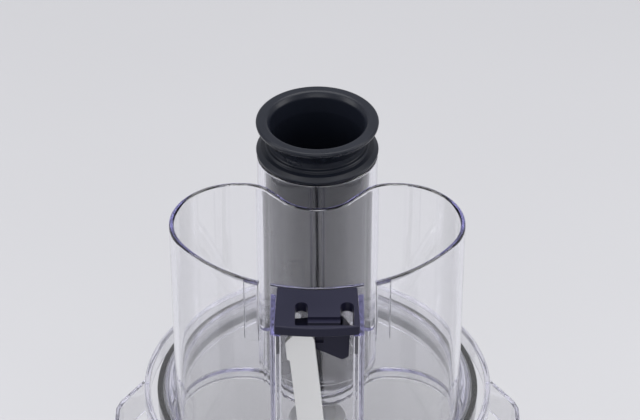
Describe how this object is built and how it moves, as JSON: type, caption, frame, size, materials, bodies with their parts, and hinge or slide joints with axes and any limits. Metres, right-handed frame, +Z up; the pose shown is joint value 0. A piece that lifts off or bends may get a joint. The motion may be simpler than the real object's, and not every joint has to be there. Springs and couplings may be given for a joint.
{
  "type": "food processor",
  "caption": "Bench-top food processor with a clear bowl, a wide kidney-shaped feed chute, a small round feed tube with a hollow pusher, and a keyed safety interlock over the handle.",
  "frame": {"origin": "centre of the footprint on the surface the feet stand on", "axes": "+Z up along the bowl's axis; -Y is the front, where the handle and the two keys are; +X is to the right seen from the front"},
  "size_m": [0.21, 0.278, 0.421],
  "materials": {
    "clear_plastic": "clear polished copolyester, faintly violet at the edges",
    "smoke_plastic": "clear polished copolyester with a grey smoke tint",
    "charcoal_plastic": "charcoal moulded plastic, fine satin",
    "black_plastic": "navy-black moulded plastic, satin",
    "ivory_plastic": "off-white translucent plastic",
    "silicone": "pale grey silicone",
    "housing_plastic": "off-white moulded plastic, low gloss",
    "foot_rubber": "black rubber",
    "machine_steel": "plated steel",
    "blade_steel": "ground stainless steel",
    "copper_winding": "enamelled copper wire",
    "laminations": "stacked electrical steel"
  },
  "bodies": {
    "base": {"base_housing": "housing_plastic", "base_screw_1": "machine_steel", "base_screw_2": "machine_steel", "base_screw_3": "machine_steel", "base_screw_4": "machine_steel", "bottom_plate": "charcoal_plastic", "control_bezel": "charcoal_plastic", "foot_front_left": "foot_rubber", "foot_front_right": "foot_rubber", "foot_rear_left": "foot_rubber", "foot_rear_right": "foot_rubber", "interlock_switch": "black_plastic", "lower_bearing": "machine_steel", "lower_bracket": "machine_steel", "motor_stator": "laminations", "on_paddle_pin": "machine_steel", "on_switch": "black_plastic", "power_inlet": "black_plastic", "pulse_paddle_pin": "machine_steel", "pulse_switch": "black_plastic", "run_capacitor": "black_plastic", "upper_bearing": "machine_steel", "upper_bracket": "machine_steel", "upper_winding": "copper_winding"},
    "motor": {"drive_shaft": "machine_steel", "motor_rotor": "laminations", "cooling_fan": "charcoal_plastic"},
    "bowl": {"bowl": "smoke_plastic", "bowl_handle": "charcoal_plastic", "handle_spring": "machine_steel"},
    "blades": {"blade_hub": "ivory_plastic", "lower_blade": "blade_steel", "upper_blade": "blade_steel"},
    "handle_rod": {"handle_rod": "ivory_plastic"},
    "plunger": {"interlock_plunger": "ivory_plastic"},
    "lid_ring": {"lid_seal": "silicone"},
    "lid": {"cover": "clear_plastic", "feed_chute": "clear_plastic", "small_feed_tube": "clear_plastic", "interlock_housing": "clear_plastic", "interlock_cap": "black_plastic", "lever_pin": "machine_steel"},
    "lever": {"interlock_lever": "black_plastic"},
    "strip": {"interlock_strip": "ivory_plastic"},
    "pusher": {"pusher": "charcoal_plastic"},
    "on_paddle": {"on_paddle": "charcoal_plastic"},
    "pulse_paddle": {"pulse_paddle": "charcoal_plastic"}
  },
  "joints": [
    {"name": "motor_spin", "type": "hinge", "parent": "base", "child": "motor", "pos_m": [0, 0.017, 0.118], "axis": [0, 0, 1], "continuous": true},
    {"name": "bowl_lift", "type": "slide", "parent": "base", "child": "bowl", "axis": [0, 0, 1], "range_m": [0, 0.13]},
    {"name": "blade_spin", "type": "hinge", "parent": "bowl", "child": "blades", "pos_m": [0, 0.017, 0.135], "axis": [0, 0, 1], "continuous": true},
    {"name": "handle_rod_slide", "type": "slide", "parent": "bowl", "child": "handle_rod", "axis": [0, 0, -1], "range_m": [0, 0.0045], "stiffness_N_per_m": 300, "springref_m": -0.004, "deforming": ["handle_spring"]},
    {"name": "plunger_slide", "type": "slide", "parent": "base", "child": "plunger", "axis": [0, 0, -1], "range_m": [0, 0.0045], "stiffness_N_per_m": 150, "springref_m": -0.004},
    {"name": "lid_lift", "type": "slide", "parent": "bowl", "child": "lid_ring", "axis": [0, 0, 1], "range_m": [0, 0.12]},
    {"name": "lid_turn", "type": "hinge", "parent": "lid_ring", "child": "lid", "pos_m": [0, 0.017, 0.272], "axis": [0, 0, 1], "range_deg": [-25, 0]},
    {"name": "strip_slide", "type": "slide", "parent": "lid", "child": "strip", "axis": [0, 0, -1], "range_m": [0, 0.0045], "stiffness_N_per_m": 60, "springref_m": -0.004},
    {"name": "lever_rock", "type": "hinge", "parent": "lid", "child": "lever", "pos_m": [-0.01, -0.078, 0.381], "axis": [0, 1, 0], "range_deg": [0, 9], "stiffness_Nm_per_rad": 0.02, "springref_deg": -5.73},
    {"name": "pusher_slide", "type": "slide", "parent": "lid", "child": "pusher", "axis": [0, 0, 1], "range_m": [0, 0.14]},
    {"name": "on_press", "type": "hinge", "parent": "base", "child": "on_paddle", "pos_m": [-0.027, -0.097, 0.0775], "axis": [1, 0, 0], "range_deg": [0, 5], "stiffness_Nm_per_rad": 1, "springref_deg": -5.73},
    {"name": "pulse_press", "type": "hinge", "parent": "base", "child": "pulse_paddle", "pos_m": [0.027, -0.097, 0.0775], "axis": [1, 0, 0], "range_deg": [0, 5], "stiffness_Nm_per_rad": 1, "springref_deg": -5.73}
  ],
  "couplings": [
    {"joint": "blade_spin", "follows": "motor_spin", "ratio": 1},
    {"joint": "handle_rod_slide", "follows": "strip_slide", "ratio": 1},
    {"joint": "plunger_slide", "follows": "strip_slide", "ratio": 1},
    {"joint": "lever_rock", "follows": "strip_slide", "rad_per_m": 34.872}
  ]
}
